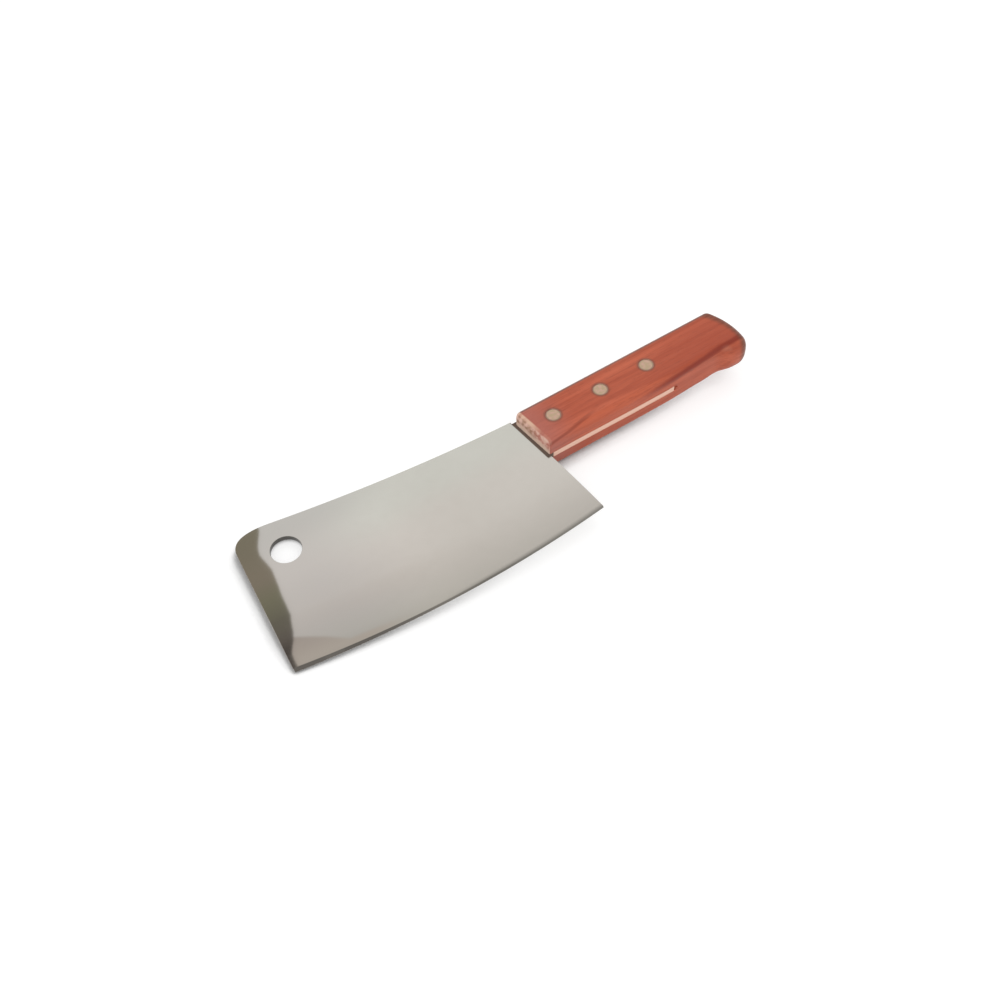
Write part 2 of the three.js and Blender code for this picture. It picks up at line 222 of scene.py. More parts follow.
# %% The handle's outline
FRONT_SLOPE = np.tan(np.radians(5.2))
SPINE_SIDE, LONG_ROUND = 14.8, 3.5
TANG_PAST_RIVET, SLOT_PAST_TANG, SOLID_WOOD = 8.1, 2.5, 49.3
TANG_LENGTH = RIVET_FIRST + 2 * RIVET_PITCH + TANG_PAST_RIVET
SLOT_LENGTH = TANG_LENGTH + SLOT_PAST_TANG
HANDLE_LENGTH = SLOT_LENGTH + SOLID_WOOD
BUTT_RADIUS, BUTT_DROP, FLARE_DEPTH = 41.2, 8.6, 16.7
SPINE_CORNER_ROUND, BELLY_CORNER_ROUND = 4.0, 6.7
butt_middle = np.array([HANDLE_LENGTH - BUTT_RADIUS, -BUTT_DROP])


def corner_middle(y, radius):
    """Middle of a butt corner's arc: it touches the long side and lies inside the big arc."""
    reach = np.sqrt((BUTT_RADIUS - radius) ** 2 - (y - butt_middle[1]) ** 2)
    return np.array([butt_middle[0] + reach, y])


spine_corner = corner_middle(SPINE_SIDE - SPINE_CORNER_ROUND, SPINE_CORNER_ROUND)
belly_corner = corner_middle(-FLARE_DEPTH + BELLY_CORNER_ROUND, BELLY_CORNER_ROUND)
belly_marks = np.array([
    [0.0, -13.8],
    [72.0, -14.2],
    [HANDLE_LENGTH - 24.2, -13.2],
    [belly_corner[0] - 1.0, -FLARE_DEPTH],
])


def s_curve(start, end, steps=80):
    """A level start, a level end and a smooth S between: x = cubic through the middle, y = 3t^2 - 2t^3."""
    t = np.linspace(0, 1, steps)
    middle = (start[0] + end[0]) / 2
    x = start[0] * (1 - t) ** 3 + 3 * middle * t * (1 - t) + end[0] * t ** 3
    y = start[1] + (end[1] - start[1]) * (3 * t ** 2 - 2 * t ** 3)
    return np.stack([x, y], -1)


belly_line = np.concatenate([s_curve(a, b) for a, b in zip(belly_marks[:-1], belly_marks[1:])])


def belly_at(x):
    """Height of the belly line at a distance behind the handle's front."""
    return np.interp(x, belly_line[:, 0], belly_line[:, 1])


print("handle length %.1f mm, slot length %.1f mm" % (HANDLE_LENGTH, SLOT_LENGTH))

# %% [markdown]
# ## The blade
# The blade is a flat plate that is ground thin towards a bowed cutting edge. A plate could be cut from a
# block with booleans, but its sides would then be long thin triangles that show in a polished face. Here
# the side is one even grid, stretched between the four lines of the outline, and its thickness is a
# formula of the distance from the edge: a bevel, a convex grind, then flat.

# %% Lines of the blade
TIP, HEEL = np.array([-167.9, -50.5]), np.array([4.6, -56.4])
EDGE_BOW, SPINE_DIP = 5.7, 3.2
FRONT_LEAN, HEEL_LEAN = np.tan(np.radians(5.2)), np.tan(np.radians(4.4))
BLADE_HALF, TANG_HALF, STEP_LEAD = 1.4, 1.5, 1.8
BEVEL, BEVEL_HEEL, GRIND = 2.2, 0.9, 28.0
SHOULDER_HALF, EDGE_HALF = 0.55, 0.08
SPINE_FRONT, SPINE_REAR = 35.7, 16.3
CORNER_ALONG_SPINE, CORNER_ALONG_FRONT, CORNER_HALF_STEPS = 22.0, 12.0, 60
HEEL_TOP = -14.4


def bowed_arc(start, end, bow):
    """Middle and radius of the circle through two points that bows out on the right of the way."""
    chord = end - start
    length = np.hypot(*chord)
    radius = (length ** 2 / 4 + bow ** 2) / (2 * bow)
    left = np.array([-chord[1], chord[0]]) / length
    return (start + end) / 2 + left * (radius - bow), radius


def arc_points(centre, radius, start, end, steps=300):
    """Points of a circle from one point's direction to another's, the short way round."""
    first, last = around(np.array([start, end]), centre)
    turn = (last - first + np.pi) % (2 * np.pi) - np.pi
    return circle(centre, radius, first + turn * np.linspace(0, 1, steps))


def front_x(y):
    return TIP[0] + (y - TIP[1]) * FRONT_LEAN


def heel_x(y):
    return HEEL[0] - (y - HEEL[1]) * HEEL_LEAN


# %% The cutting edge and the bevel's shoulder
edge_middle, edge_radius = bowed_arc(TIP, HEEL, EDGE_BOW)


def foot_on_arc(side_x, start_y, depth):
    """Where a leaning side meets the line that runs parallel to the edge at a depth, by a few steps."""
    y = start_y + depth
    for _ in range(20):
        x = side_x(y)
        y = edge_middle[1] - np.sqrt((edge_radius - depth) ** 2 - (x - edge_middle[0]) ** 2)
    return np.array([side_x(y), y])


edge_line = arc_points(edge_middle, edge_radius, TIP, HEEL)
shoulder_front = foot_on_arc(front_x, TIP[1], BEVEL)
shoulder_heel = foot_on_arc(heel_x, HEEL[1], BEVEL_HEEL)
way = np.linspace(0, 1, 300)
shoulder_angles = np.interp(way, [0, 1], around(np.array([shoulder_front, shoulder_heel]), edge_middle))
bevel_width = BEVEL_HEEL + (BEVEL - BEVEL_HEEL) * (1 - way) ** 3
shoulder_line = circle(edge_middle, edge_radius - bevel_width, shoulder_angles)
print("cutting edge %.1f mm" % np.hypot(*np.diff(edge_line, axis=0).T).sum())

# %% Spine, soft front corner and the lines behind
top_corner = np.array([front_x(SPINE_FRONT), SPINE_FRONT])
spine_rear = np.array([-SPINE_REAR * FRONT_SLOPE - STEP_LEAD, SPINE_REAR])
spine_middle, spine_radius = bowed_arc(top_corner, spine_rear, SPINE_DIP)
turn = around(np.array([top_corner, spine_rear]), spine_middle)
spine_start_angle = turn[0] + np.sign(turn[1] - turn[0]) * CORNER_ALONG_SPINE / spine_radius
spine_start = circle(spine_middle, spine_radius, np.array([spine_start_angle]))[0]
front_end_y = SPINE_FRONT - CORNER_ALONG_FRONT
front_end = np.array([front_x(front_end_y), front_end_y])
t = np.linspace(0, 1, 2 * CORNER_HALF_STEPS + 1)[:, None]
round_corner = spine_start * (1 - t) ** 2 + 2 * top_corner * t * (1 - t) + front_end * t ** 2

spine_line = arc_points(spine_middle, spine_radius, spine_start, spine_rear)
top_line = np.concatenate([round_corner[CORNER_HALF_STEPS::-1], spine_line])
front_line = np.concatenate([
    np.linspace(shoulder_front, front_end, 200), round_corner[:CORNER_HALF_STEPS - 1:-1]])
heel_top = np.array([heel_x(HEEL_TOP), HEEL_TOP])
tang_foot = np.array([-belly_marks[0, 1] * FRONT_SLOPE - STEP_LEAD, belly_marks[0, 1]])
tang_top = np.array([-SPINE_SIDE * FRONT_SLOPE - STEP_LEAD, SPINE_SIDE])
rear_marks = np.array([shoulder_heel, heel_top, tang_foot, tang_top, spine_rear])
print("blade front %.1f mm deep" % np.hypot(*(top_corner - TIP)))


# %% The blade's side as a grid
def spaced(line, shares):
    """Points of a line at the given shares of its length."""
    steps = np.hypot(*np.diff(line, axis=0).T)
    length = np.concatenate([[0], np.cumsum(steps)]) / steps.sum()
    return np.stack([np.interp(shares, length, line[:, k]) for k in range(2)], -1)


def stretched(foot, top, front, rear, u, v):
    """A sheet between four lines: the two straight blends, less the blend of the four corners."""
    u, v = u[:, None, None], v[None, :, None]
    corners = ((1 - u) * (1 - v) * foot[0] + u * (1 - v) * foot[-1]
               + (1 - u) * v * top[0] + u * v * top[-1])
    return ((1 - v) * foot[:, None] + v * top[:, None]
            + (1 - u) * front[None] + u * rear[None] - corners)


ALONG, BELOW_TANG, ACROSS_TANG, ABOVE_TANG = 172, 44, 26, 2
rear_steps = np.cumsum([0, BELOW_TANG - 1, 1, ACROSS_TANG, ABOVE_TANG])
rear_lengths = np.hypot(*np.diff(rear_marks, axis=0).T)
rear_shares = np.concatenate([[0], np.cumsum(rear_lengths)]) / rear_lengths.sum()
share_v = np.interp(np.arange(rear_steps[-1] + 1), rear_steps, rear_shares)
share_u = np.linspace(0, 1, ALONG + 1)
sheet = stretched(spaced(shoulder_line, share_u), spaced(top_line, share_u),
                  spaced(front_line, share_v), spaced(rear_marks, share_v), share_u, share_v)
blade = Skin()
side = blade.add(np.concatenate([spaced(edge_line, share_u)[:, None], sheet], axis=1))
print("blade grid:", side.shape)

# %% The tang behind it
tang_rows = slice(1 + BELOW_TANG, 2 + BELOW_TANG + ACROSS_TANG)
TANG_STEPS, STEP_RUN = 84, 0.06
tang_first = sheet[-1, BELOW_TANG:BELOW_TANG + ACROSS_TANG + 1]
along = np.concatenate([[STEP_RUN / TANG_LENGTH], np.linspace(0, 1, TANG_STEPS + 1)[1:]])[:, None]
tang_x = tang_first[None, :, 0] * (1 - along) + TANG_LENGTH * along
share_y = np.linspace(0, 1, ACROSS_TANG + 1)[None]
tang_y = belly_at(tang_x) * (1 - share_y) + SPINE_SIDE * share_y
tang = np.concatenate([side[-1:, tang_rows], blade.add(np.stack([tang_x, tang_y], -1))])
print("tang grid:", tang.shape)


# %% [markdown]
# ## Holes in the steel
# The hanging hole and the three rivet holes are gaps in these grids. A gap is chosen as the block of
# cells around the hole, and rings of points run from the block's border to the circle, so the grid
# stays even on the visible side.

# %% Pierce the grids
HANG_HOLE = top_corner + np.array([20.4, -23.1])
HANG_RADIUS, TANG_HOLE_RADIUS = 8.0, 2.9
HANG_REACH, TANG_HOLE_REACH = 12.0, 5.5


def gap_around(points, centre, reach):
    """The block of grid cells whose points lie within a reach of a centre, both ways."""
    near = np.abs(points - centre).max(-1) < reach
    rows, columns = np.nonzero(near.any(1))[0], np.nonzero(near.any(0))[0]
    return slice(rows[0], rows[-1]), slice(columns[0], columns[-1])


def pierce(skin, numbers, centre, reach, radius, rings=5):
    """Rings from a gap's border to a circle: each ring lies a further share of the way. Returns the gap."""
    points = skin.points()
    gap = gap_around(points[numbers], centre, reach)
    border = gap_border(numbers, *gap)
    rim = circle(centre, radius, around(points[border], centre))
    last = border
    for share in (1 - np.linspace(1, 0, rings + 1)[1:] ** 1.6):
        ring = skin.add(points[border] * (1 - share) + rim * share)
        skin.band(last, ring)
        last = ring
    return gap


blade.grid(side, [pierce(blade, side, HANG_HOLE, HANG_REACH, HANG_RADIUS)])
rivet_places = [np.array([RIVET_FIRST + i * RIVET_PITCH, RIVET_RISE]) for i in range(3)]
blade.grid(tang, [pierce(blade, tang, place, TANG_HOLE_REACH, TANG_HOLE_RADIUS) for place in rivet_places])
print("blade side:", blade.count, "points")

# %% [markdown]
# ## From a side to a plate
# The two sides of the steel are the same grid at plus and minus half the thickness. The narrow wall
# between them follows every border, the outline and the holes alike. No real edge is quite sharp, so the
# wall starts with a small quarter round, which catches the light as the broken edge of the knife does.

# %% Thickness and rim
EDGE_BREAK = 0.22
RIM_TURNS = np.radians([30.0, 60.0, 90.0])


def half_thickness(points):
    """At the edge almost nothing, from the bevel's shoulder on a parabola up to the full half, and the
    tang, which was never ground, a little more."""
    depth = edge_radius - np.hypot(*(points - edge_middle).T)
    left = np.clip(1 - (depth - BEVEL) / GRIND, 0, None)
    ground = BLADE_HALF - (BLADE_HALF - SHOULDER_HALF) * left ** 2
    plate = np.where(depth < 0.1, EDGE_HALF, ground)
    behind = points[:, 0] + points[:, 1] * FRONT_SLOPE + STEP_LEAD
    in_tang = (behind > 0.03) & (points[:, 1] > belly_at(points[:, 0]) - 0.01)
    return np.where(in_tang & (points[:, 1] < SPINE_SIDE + 0.01), TANG_HALF, plate)


def border_edges(quads):
    """The directed edges that only one face uses."""
    edges = np.concatenate([np.stack([quads[:, k], quads[:, (k + 1) % 4]], -1) for k in range(4)])
    key = np.sort(edges, axis=1) @ np.array([2 ** 32, 1])
    _, first, uses = np.unique(key, return_index=True, return_counts=True)
    return edges[first[uses == 1]]


def plate(flat, quads):
    """Both sides at half the thickness, and a rounded wall along every border.
    A wall point at turn f lies outwards by r sin f and downwards by r (1 - cos f) from the side's border."""
    edges = border_edges(quads)
    along = flat[edges[:, 1]] - flat[edges[:, 0]]
    outward = np.stack([along[:, 1], -along[:, 0]], -1)
    first_face = flat[quads[0]]
    area = np.cross(first_face[1] - first_face[0], first_face[2] - first_face[0])
    outward = outward / np.hypot(*outward.T)[:, None] * np.sign(area)
    normal = np.zeros_like(flat)
    np.add.at(normal, edges[:, 0], outward)
    np.add.at(normal, edges[:, 1], outward)
    border = np.unique(edges)
    normal = normal[border] / np.hypot(*normal[border].T)[:, None]
    half = half_thickness(flat)
    round_off = np.minimum(EDGE_BREAK, 0.45 * half[border])
    inner = flat.copy()
    inner[border] -= normal * round_off[:, None]
    row = np.full(len(flat), -1)
    row[border] = np.arange(len(border))
    rows_upper, rows_lower = [border], [border + len(flat)]
    points = [np.column_stack([inner, half]), np.column_stack([inner, -half])]
    count = 2 * len(flat)
    for turn in RIM_TURNS:
        out = inner[border] + normal * (round_off * np.sin(turn))[:, None]
        height = half[border] - round_off * (1 - np.cos(turn))
        for rows, sign in ((rows_upper, 1), (rows_lower, -1)):
            points.append(np.column_stack([out, sign * height]))
            rows.append(count + np.arange(len(border)))
            count += len(border)
    loop = rows_upper + rows_lower[::-1]
    start, end = row[edges[:, 0]], row[edges[:, 1]]
    wall = [np.stack([a[end], a[start], b[start], b[end]], -1) for a, b in zip(loop[:-1], loop[1:])]
    return np.concatenate(points), np.concatenate([quads, quads[:, ::-1] + len(flat)] + wall)


steel_plate = plate(blade.points(), blade.quads())
blade_piece = make_piece("ground_blade", *steel_plate, "blade", "blade_steel", 6.0)

# %% [markdown]
# ## The handle
# The handle is one piece of wood, rounded along its long edges and round the butt, with a saw slot for
# the tang. It could be a box with a bevel and booleans, but the bevel would pinch at the butt's corners.
# Here the quarter round is a profile carried along the outline, from the front end along the spine side,
# round the butt and back along the belly. Only the upper half is drawn; the lower half is its mirror.

# %% Stations along the handle
SLOT_HALF, FRONT_ROUND, SPINE_FRONT_ROUND, BELLY_FRONT_ROUND = 1.65, 3.0, 2.4, 0.8
SLANT_FADE = 70.0
quarter = np.linspace(0, np.pi / 2, 9)
front_stations = FRONT_ROUND * (1 - np.cos(quarter))
slot_stations = np.linspace(FRONT_ROUND, SLOT_LENGTH - SLOT_HALF, 84)[1:]
slot_end_stations = SLOT_LENGTH - SLOT_HALF + SLOT_HALF * np.sin(quarter[1:])
x_slotted = np.concatenate([front_stations, slot_stations, slot_end_stations])
SLOTTED, SOLID, CORNER, BUTT = len(x_slotted), 42, 10, 16

x_spine = np.concatenate([x_slotted, np.linspace(SLOT_LENGTH, spine_corner[0], SOLID + 1)[1:]])
x_belly = np.concatenate([x_slotted, np.linspace(SLOT_LENGTH, belly_corner[0], SOLID + 1)[1:]])
lean = np.clip(1 - x_spine / SLANT_FADE, 0, 1) * FRONT_SLOPE
y_spine = np.full(len(x_spine), SPINE_SIDE)
y_belly = belly_at(x_belly)
print("stations:", len(x_spine), "of which slotted:", SLOTTED)


# %% The path round the outline
spine_aim, belly_aim = around(np.array([spine_corner, belly_corner]), butt_middle)
butt_aim = (spine_aim + belly_aim) / 2


def corner_path(corner, radius, flat_angle, aim):
    """A butt corner's arc from the long side, then the big arc to the butt's middle."""
    small = circle(corner, radius, np.linspace(flat_angle, aim, CORNER + 1)[1:])
    large = circle(butt_middle, BUTT_RADIUS, np.linspace(aim, butt_aim, BUTT + 1)[1:])
    return np.concatenate([small, large])


spine_path = np.concatenate([np.stack([x_spine - lean * y_spine, y_spine], -1),
                             corner_path(spine_corner, SPINE_CORNER_ROUND, np.pi / 2, spine_aim)])
belly_path = np.concatenate([np.stack([x_belly - lean * y_belly, y_belly], -1),
                             corner_path(belly_corner, BELLY_CORNER_ROUND, -np.pi / 2, belly_aim)])
outline = np.concatenate([spine_path, belly_path[-2::-1]])
ROWS = len(spine_path)
heading = np.gradient(outline, axis=0)
heading = heading / np.hypot(*heading.T)[:, None]
outward = np.stack([-heading[:, 1], heading[:, 0]], -1)


def both_ways(values, rest):
    """Values along the spine stations, then the rest up to the butt, then the same way back."""
    one_way = np.concatenate([values, np.full(ROWS - len(values), rest)])
    return np.concatenate([one_way, one_way[-2::-1]])


past_end = np.clip(x_spine - (SLOT_LENGTH - SLOT_HALF), 0, SLOT_HALF)
slot_height = both_ways(np.sqrt(SLOT_HALF ** 2 - past_end ** 2), 0.0)
front_drop = np.clip(FRONT_ROUND - x_spine, 0, None)
front_height = HANDLE_HALF - FRONT_ROUND + np.sqrt(FRONT_ROUND ** 2 - front_drop ** 2)
top_height = both_ways(front_height, HANDLE_HALF)


def front_inset(radius):
    """How far a side draws in at the front end: a quarter round of the given radius, seen from above."""
    ahead = np.clip(radius - x_spine, 0, None)
    return np.concatenate([radius - np.sqrt(radius ** 2 - ahead ** 2), np.zeros(ROWS - len(x_spine))])


start_inset = np.concatenate([front_inset(SPINE_FRONT_ROUND), front_inset(BELLY_FRONT_ROUND)[-2::-1]])

# %% [markdown]
# ## How round the edges are
# The long edges carry the same quarter round everywhere, but the butt's belly corner, which lies in the
# palm, is rounded more fully. The rounding grows along the flare and fades along the butt.

# %% Rounding along the path
PALM_ROUND_IN, PALM_ROUND_UP, PALM_START = 6.3, 9.0, 103.0
rise = np.clip((x_belly - PALM_START) / (belly_corner[0] - PALM_START), 0, 1)
spine_palm = np.concatenate([np.zeros(len(x_spine) + CORNER), np.linspace(0, 0.5, BUTT + 1)[1:]])
belly_palm = np.concatenate([rise ** 2 * (3 - 2 * rise), np.ones(CORNER), np.linspace(1, 0.5, BUTT + 1)[1:]])
palm = np.concatenate([spine_palm, belly_palm[-2::-1]])
round_in = LONG_ROUND + (PALM_ROUND_IN - LONG_ROUND) * palm
round_up = LONG_ROUND + (PALM_ROUND_UP - LONG_ROUND) * palm
print("rounding from %.1f to %.1f mm" % (round_up.min(), round_up.max()))

# %% The rounded side: a profile carried along the path
WALL_STEPS, ROUND_STEPS = 3, 9
turn = np.linspace(0, np.pi / 2, ROUND_STEPS + 1)[None]
wall_share = np.linspace(0, 1, WALL_STEPS + 1)[None, :-1]


def carried_profile():
    """A wall from the slot up to the rounding, then a quarter ellipse f = 0 to 90 degrees: inwards by
    (1 - cos f) of its width and upwards by sin f of its height."""
    wall_top = (top_height - round_up)[:, None]
    wall = slot_height[:, None] + (wall_top - slot_height[:, None]) * wall_share
    height = np.concatenate([wall, wall_top + round_up[:, None] * np.sin(turn)], axis=1)
    inset = np.concatenate([np.zeros_like(wall), round_in[:, None] * (1 - np.cos(turn))], axis=1)
    flat = outline[:, None] - outward[:, None] * (inset + start_inset[:, None])[..., None]
    return np.concatenate([flat, height[..., None]], -1)


handle = Skin()
rounded = handle.add(carried_profile())
handle.grid(rounded)
print("rounded side:", rounded.shape)

# %% Flat top, front end and slot wall: straight lines across between the two sides
ACROSS = 20
share = np.linspace(0, 1, ACROSS + 1)[None, 1:-1, None]


def ruled(left, right):
    """Straight rows of points between two lines whose points already have numbers."""
    points = handle.points()
    inner = handle.add(points[left][:, None] * (1 - share) + points[right][:, None] * share)
    return np.column_stack([left, inner, right])


def facing(column):
    """The same profile step on the spine side and, station by station, on the belly side."""
    return rounded[:ROWS, column], rounded[:-ROWS - 1:-1, column]


flat_top = ruled(*facing(-1))
slot_wall = ruled(*(line[:SLOTTED] for line in facing(0)))
front_rows = ruled(rounded[0, 1:-1], rounded[-1, 1:-1])
front_end_face = np.concatenate([slot_wall[:1], front_rows, flat_top[:1]])
handle.grid(front_end_face)
print("flat top:", flat_top.shape, "slot wall:", slot_wall.shape, "front end:", front_end_face.shape)

# %% Rivet seats and bores, then the mirrored half
HEAD_RADIUS, HEAD_HEIGHT, SEAT_CLEARANCE = 4.0, 1.8, 0.12
SEAT_RADIUS, SEAT_FLOOR = HEAD_RADIUS + SEAT_CLEARANCE, HANDLE_HALF - HEAD_HEIGHT - SEAT_CLEARANCE
SEAT_BREAK, SEAT_REACH, BORE_RADIUS = 0.08, 6.2, 2.75
bore_columns = slice(4, 14)


def level_circle(centre, radius, angles, height):
    flat = circle(centre, radius, angles)
    return np.column_stack([flat, np.full(len(flat), height)])


def ring_patch(border, rim, shares=(0.45, 0.8)):
    """Rings from a gap's border towards a rim of numbered points."""
    points, last = handle.points(), border
    for part in shares:
        ring = handle.add(points[border] * (1 - part) + points[rim] * part)
        handle.band(last, ring)
        last = ring
    handle.band(last, rim)


gaps = []
for place in rivet_places:
    near = np.nonzero(np.abs(x_slotted - place[0]) < SEAT_REACH)[0]
    gap = (slice(near[0], near[-1]), bore_columns)
    top_border, wall_border = gap_border(flat_top, *gap), gap_border(slot_wall, *gap)
    angles = around(handle.points()[top_border], place)
    circles = [handle.add(level_circle(place, radius, angles, height)) for radius, height in (
        (SEAT_RADIUS + SEAT_BREAK, HANDLE_HALF), (SEAT_RADIUS, HANDLE_HALF - SEAT_BREAK),
        (SEAT_RADIUS, SEAT_FLOOR), (BORE_RADIUS, SEAT_FLOOR), (BORE_RADIUS, SLOT_HALF))]
    ring_patch(top_border, circles[0])
    for upper, lower in zip(circles[:-1], circles[1:]):
        handle.band(upper, lower)
    ring_patch(wall_border, circles[-1])
    gaps.append(gap)
handle.grid(flat_top, gaps)
handle.grid(slot_wall, gaps)

upper_half, upper_quads = handle.points(), handle.quads()
handle_points = np.concatenate([upper_half, upper_half * [1, 1, -1]])
handle_quads = np.concatenate([upper_quads, upper_quads[:, ::-1] + len(upper_half)])
handle_piece = make_piece("wooden_handle", handle_points, handle_quads, "handle", "handle_wood", 32.0)

# %% [markdown]
# ## The rivets
# A cutler's rivet has two halves with flat heads: a solid pin that is driven into a tube. Both are turned
# parts, so each is a profile turned round its axis. The heads end flush with the wood, with a fine
# broken edge.

# %% Turned rivet halves
PIN_RADIUS, TUBE_RADIUS, TUBE_BORE = 1.8, 2.6, 1.92
HEAD_BREAK, END_GAP, ROUND_SIDES = 0.16, 0.3, 72
HEAD_SEAT = HANDLE_HALF - HEAD_HEIGHT
SHANK_END = HEAD_SEAT - END_GAP
head_profile = np.array([
    [HEAD_RADIUS, HEAD_SEAT], [HEAD_RADIUS, HANDLE_HALF - HEAD_BREAK],
    [HEAD_RADIUS - 0.4 * HEAD_BREAK, HANDLE_HALF - 0.4 * HEAD_BREAK],
    [HEAD_RADIUS - HEAD_BREAK, HANDLE_HALF], [0.5 * HEAD_RADIUS, HANDLE_HALF], [0, HANDLE_HALF],
])
pin_shank = np.array([[0, -SHANK_END], [PIN_RADIUS, -SHANK_END], [PIN_RADIUS, HEAD_SEAT]])
tube_shank = np.array([
    [TUBE_RADIUS, -HEAD_SEAT], [TUBE_RADIUS, SHANK_END], [TUBE_BORE, SHANK_END], [TUBE_BORE, -HEAD_SEAT],
    [0, -HEAD_SEAT],
])
pin_profile = np.concatenate([pin_shank, head_profile])
tube_profile = np.concatenate([head_profile[::-1] * [1, -1], tube_shank])


def turned(profile, place):
    """Each profile point (radius, height) goes round the axis: x = r cos a, y = r sin a, z = height."""
    skin = Skin()
    angles = np.linspace(0, 2 * np.pi, ROUND_SIDES + 1)[:-1]
    radius, height = profile[:, :1], profile[:, 1:]
    grid = np.stack(np.broadcast_arrays(
        place[0] + radius * np.cos(angles), place[1] + radius * np.sin(angles), height), -1)
    numbers = skin.add(grid)
    for lower, upper in zip(numbers[:-1], numbers[1:]):
        skin.band(lower, upper)
    return skin.points(), skin.quads()


rivet_pieces = []
for name, place in zip(RIVET_NAMES, rivet_places):
    for half, profile in (("pin", pin_profile), ("tube", tube_profile)):
        node = f"{name}_rivet_{half}"
        skin = turned(profile, place)
        rivet_pieces.append(make_piece(f"{node}_turned", *skin, node, "rivet_metal", 30.0))

# %% [markdown]
# ## Materials: a small set of helpers
# All finishes are worked out from places on the knife, in millimetres along its own axes. One Mapping
# node does that: it scales metres to millimetres, turns the table's axes to the knife's and moves the
# zero to the handle's front.

# %% Node helpers
class Bench:
    """A node tree with short ways to add and link nodes."""

    def __init__(self, tree):
        self.tree = tree

    def node(self, kind, **inputs):
        node = self.tree.nodes.new(kind)
        for name, value in inputs.items():
            self.put(node.inputs[name], value)
        return node

    def put(self, socket, value):
        if isinstance(value, bpy.types.NodeSocket):
            self.tree.links.new(value, socket)
        else:
            socket.default_value = value

    def math(self, operation, *values):
        node = self.node("ShaderNodeMath")
        node.operation = operation
        for socket, value in zip(node.inputs, values):
            self.put(socket, value)
        return node.outputs[0]

    def times(self, *values):
        """The product of two or more values."""
        product = values[0]
        for value in values[1:]:
            product = self.math("MULTIPLY", product, value)
        return product

    def ramp(self, value, low, high, to_low=0.0, to_high=1.0):
        """A smooth step: to_low below low, to_high above high."""
        node = self.node("ShaderNodeMapRange")
        node.interpolation_type = "SMOOTHSTEP"
        for socket, number in zip(node.inputs[:5], (value, low, high, to_low, to_high)):
            self.put(socket, number)
        return node.outputs[0]

    def mix(self, share, first, second):
        node = self.node("ShaderNodeMix")
        node.data_type = "RGBA"
        for socket, value in zip((node.inputs[0], node.inputs[6], node.inputs[7]), (share, first, second)):
            self.put(socket, value)
        return node.outputs[2]


def colour(red, green, blue):
    return (red, green, blue, 1.0)


# %% A finish that knows the knife's places
to_knife = Matrix(knife_axes.T.tolist()).to_euler()
zero_shift = -knife_axes.T @ knife_zero


class Finish(Bench):
    """A material whose nodes know every place on the knife."""

    def __init__(self, name):
        self.material = bpy.data.materials.new(name)
        self.material.use_nodes = True
        super().__init__(self.material.node_tree)
        self.shader = self.tree.nodes["Principled BSDF"]
        place = self.node("ShaderNodeTexCoord").outputs["Object"]
        mapping = self.node("ShaderNodeMapping", Vector=place)
        mapping.inputs["Location"].default_value = zero_shift
        mapping.inputs["Rotation"].default_value = to_knife
        mapping.inputs["Scale"].default_value = (1000, 1000, 1000)
        self.place = mapping.outputs[0]
        parts = self.node("ShaderNodeSeparateXYZ", Vector=self.place)
        self.x, self.y, self.z = parts.outputs

    def noise(self, scale, detail=2.0, rough=0.5, distortion=0.0):
        """Noise with its own fineness along the knife's three axes, in waves per millimetre."""
        mapping = self.node("ShaderNodeMapping", Vector=self.place)
        mapping.inputs["Scale"].default_value = scale
        node = self.node("ShaderNodeTexNoise", Vector=mapping.outputs[0], Scale=1.0, Detail=detail,
                         Roughness=rough, Distortion=distortion)
        return node.outputs[0]

    def away_from(self, middle):
        """Distance from an upright axis through a place on the knife's side, in mm."""
        offset = self.node("ShaderNodeVectorMath", Vector=self.place)
        offset.operation = "MULTIPLY_ADD"
        offset.inputs[1].default_value = (1, 1, 0)
        offset.inputs[2].default_value = (-middle[0], -middle[1], 0)
        length = self.node("ShaderNodeVectorMath", Vector=offset.outputs[0])
        length.operation = "LENGTH"
        return length.outputs["Value"]

    def facing_along(self, axis):
        """How far the surface faces along an axis: 1 straight along it, 0 square to it."""
        node = self.node("ShaderNodeVectorMath", Vector=self.node("ShaderNodeNewGeometry").outputs["Normal"])
        node.operation = "DOT_PRODUCT"
        node.inputs[1].default_value = axis
        return node.outputs["Value"]

    def bump(self, height, strength, distance, before=None):
        node = self.node("ShaderNodeBump", Height=height, Strength=strength, Distance=distance)
        if before is not None:
            self.put(node.inputs["Normal"], before)
        return node.outputs[0]

    def finish(self, *pieces, **inputs):
        for name, value in inputs.items():
            self.put(self.shader.inputs[name.replace("_", " ")], value)
        for piece in pieces:
            piece.data.materials.clear()
            piece.data.materials.append(self.material)
        print("finish:", self.material.name, "on", len(pieces), "pieces")
